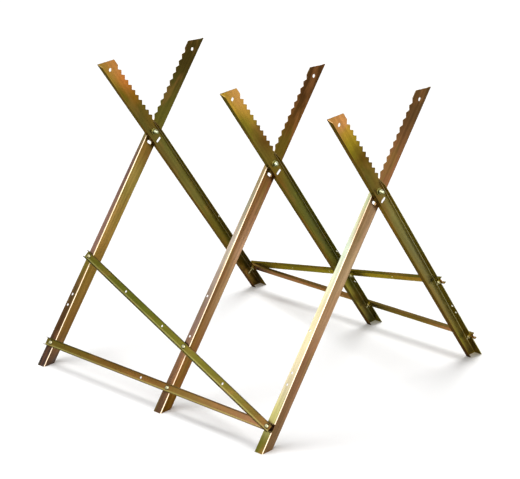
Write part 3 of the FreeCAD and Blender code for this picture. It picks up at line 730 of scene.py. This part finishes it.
def washer(name, outer, bore, sheet):
    """Stamped: rolled over at its upper edge, sharp below."""
    sharp = [(outer - 0.0002, 0), (outer, 0.0002)]
    rolled = [
        (outer, sheet - 0.0005), (outer - 0.00015, sheet - 0.0002), (outer - 0.0005, sheet),
    ]
    disc = turned_piece(name, sharp + rolled, sides=48)
    punch = turned_piece("punch", [(bore, -0.001), (bore, sheet + 0.001)], sides=32)
    combine(disc, punch, "DIFFERENCE")
    smooth(disc, 40)
    return disc


DOME_FOOT, DOME_WIDTH, DOME_CROWN = 0.45, 0.58, 0.35
DOMED = [
    (
        DOME_CROWN + (DOME_WIDTH - DOME_CROWN) * math.cos(bend),
        DOME_FOOT + (1 - DOME_FOOT) * math.sin(bend),
    )
    for bend in (math.radians(degrees) for degrees in range(0, 91, 15))
]
outer_bolt = hexagon_bolt("outer pivot bolt", length=0.020)
middle_bolt = hexagon_bolt("middle pivot bolt", length=0.016)
flat_washer = washer("flat washer", outer=0.010, bore=0.0041, sheet=0.0016)
pivot_nut = hexagon_nut("pivot nut", flats=0.013, height=0.0065, bore=0.0081, top=DOMED)
# The pivots' pale colour is also their painted highlight on top, the dark one painted shade.
pivot_finish = plated_fastener(
    "pale zinc of the pivots", (104, 106, 60), (204, 212, 182), worn=0.1
)
washer_finish = plated_fastener(
    "olive zinc of the washers", (98, 92, 38), (150, 144, 84), worn=0.1
)

TOWARDS_NUT = Vector((1, 0, 0))
for pair in (1, 2, 3):
    for model, node, out, finish in (
        (middle_bolt if pair == 2 else outer_bolt, "pivot_bolt", -TOWARDS_NUT, pivot_finish),
        (flat_washer, "pivot_head_washer", -TOWARDS_NUT, washer_finish),
        (flat_washer, "pivot_nut_washer", TOWARDS_NUT, washer_finish),
        (pivot_nut, "pivot_nut", TOWARDS_NUT, pivot_finish),
    ):
        stand_in_place(model, f"{node}_{pair}", out, "rear_set", finish)
for model in (outer_bolt, middle_bolt, flat_washer, pivot_nut):
    bpy.data.objects.remove(model)

# ---- Floor and light ------------------------------------------------------------------
# A plain white floor and room, with broad soft light from above, a soft box on the left that
# the front legs' flanges catch, and a pale board on the right that shines in their folds.


def seen_or_reflected(tree):
    """1 for what the camera sees, straight or in a shine, and 0 for the light that falls."""
    ray = put(tree, "LightPath").outputs
    shining = maths(tree, "MAXIMUM", ray["Is Camera Ray"], ray["Is Glossy Ray"])
    return maths(tree, "MAXIMUM", shining, ray["Is Transmission Ray"])


bpy.ops.object.select_all(action="DESELECT")
bpy.ops.mesh.primitive_plane_add(size=30, location=(0, 0, 0))
floor = bpy.context.object
floor.name = "floor"
floor_paint = bpy.data.materials.new("white floor")
floor_paint.use_nodes = True
tree = floor_paint.node_tree
paint = tree.nodes["Principled BSDF"]
paint.inputs["Base Color"].default_value = (0.9, 0.9, 0.9, 1)
paint.inputs["Roughness"].default_value = 0.9
paint.inputs["Specular IOR Level"].default_value = 0
paint.inputs["Emission Color"].default_value = (1, 1, 1, 1)
FLOOR_GLOW = 0.07
glow = maths(tree, "MULTIPLY", seen_or_reflected(tree), FLOOR_GLOW)
tree.links.new(glow, paint.inputs["Emission Strength"])
floor.data.materials.append(floor_paint)

ROOM_LIGHT, ROOM_WHITE = 0.52, 1.0
world = bpy.data.worlds.new("studio")
bpy.context.scene.world = world
world.use_nodes = True
tree = world.node_tree
background = tree.nodes["Background"]
background.inputs["Color"].default_value = (1, 1, 1, 1)
room = spread(tree, seen_or_reflected(tree), 0, 1, ROOM_LIGHT, ROOM_WHITE)
tree.links.new(room, background.inputs["Strength"])


def soft_box(name, place, aim, power, width):
    data = bpy.data.lights.new(name, "AREA")
    data.energy = power
    data.size = width
    lamp = bpy.data.objects.new(name, data)
    lamp.location = place
    lamp.rotation_euler = (Vector(aim) - Vector(place)).to_track_quat("-Z", "Y").to_euler()
    lamp.visible_camera = False
    bpy.context.scene.collection.objects.link(lamp)
    return lamp


sky_data = bpy.data.lights.new("overhead", "SUN")
sky_data.energy = 2.0
sky_data.angle = math.radians(34)
sky = bpy.data.objects.new("overhead", sky_data)
sky.rotation_euler = Vector((-0.14, 0.2, 1)).to_track_quat("Z", "Y").to_euler()
bpy.context.scene.collection.objects.link(sky)
soft_box("left box", (-0.94, -1.43, 1.54), aim=(0.35, -0.2, 0.4), power=5.5, width=0.9)
board = soft_box("right board", (2.5, -1.6, 2.0), aim=(0, -0.1, 0.4), power=170, width=4.4)
board.visible_diffuse = False

# ---- Camera ---------------------------------------------------------------------------
# Standing well in front on the right and above the tops of the legs, with a long lens that
# takes in the whole sawhorse.

camera_data = bpy.data.cameras.new("camera")
camera_data.sensor_width = 36
camera_data.lens = 129.48
camera = bpy.data.objects.new("camera", camera_data)
standpoint = (3.1213, -3.3972, 1.9713)
right = Vector((0.73692, 0.67597, -0.00336))
down = Vector((0.22299, -0.24777, -0.94281))
forward = Vector((-0.63814, 0.69403, -0.33332))
turned = Matrix((right, -down, -forward)).transposed().to_4x4()
camera.matrix_world = Matrix.Translation(standpoint) @ turned
bpy.context.scene.collection.objects.link(camera)
bpy.context.scene.camera = camera
bpy.context.scene.view_settings.view_transform = "Standard"
